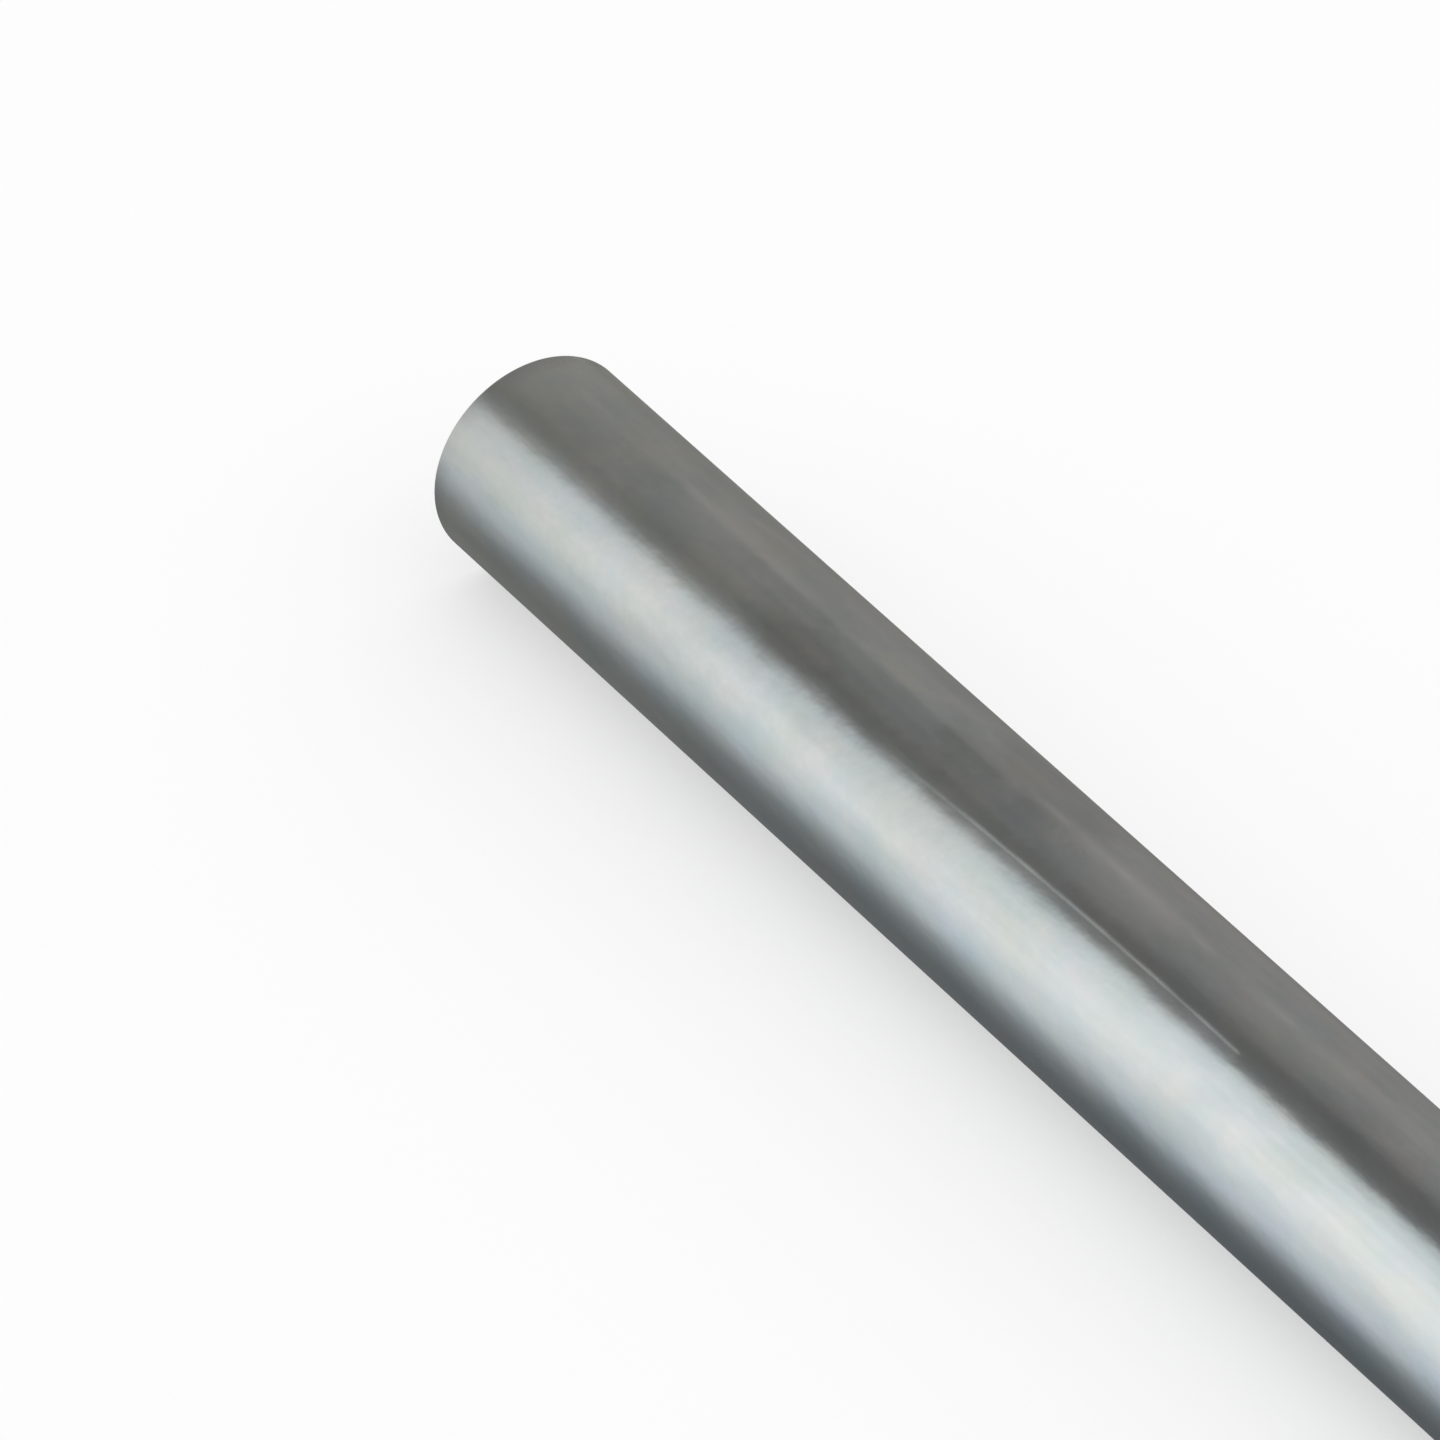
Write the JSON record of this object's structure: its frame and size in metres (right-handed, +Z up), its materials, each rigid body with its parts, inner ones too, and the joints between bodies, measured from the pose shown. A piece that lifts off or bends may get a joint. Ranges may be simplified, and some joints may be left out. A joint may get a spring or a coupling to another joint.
{
  "type": "chrome rod",
  "caption": "Straight solid round steel rod with a bright chrome plated barrel, square cut ends and a small chamfer on each edge, lying on its side.",
  "frame": {"origin": "on the floor under the middle of the rod, at the centre of its line of contact", "axes": "+X along the rod, +Z up, with the rod lying on its side"},
  "size_m": [0.5, 0.025, 0.025],
  "materials": {
    "chrome": "polished"
  },
  "bodies": {
    "root": {"rod": "chrome"}
  },
  "joints": []
}
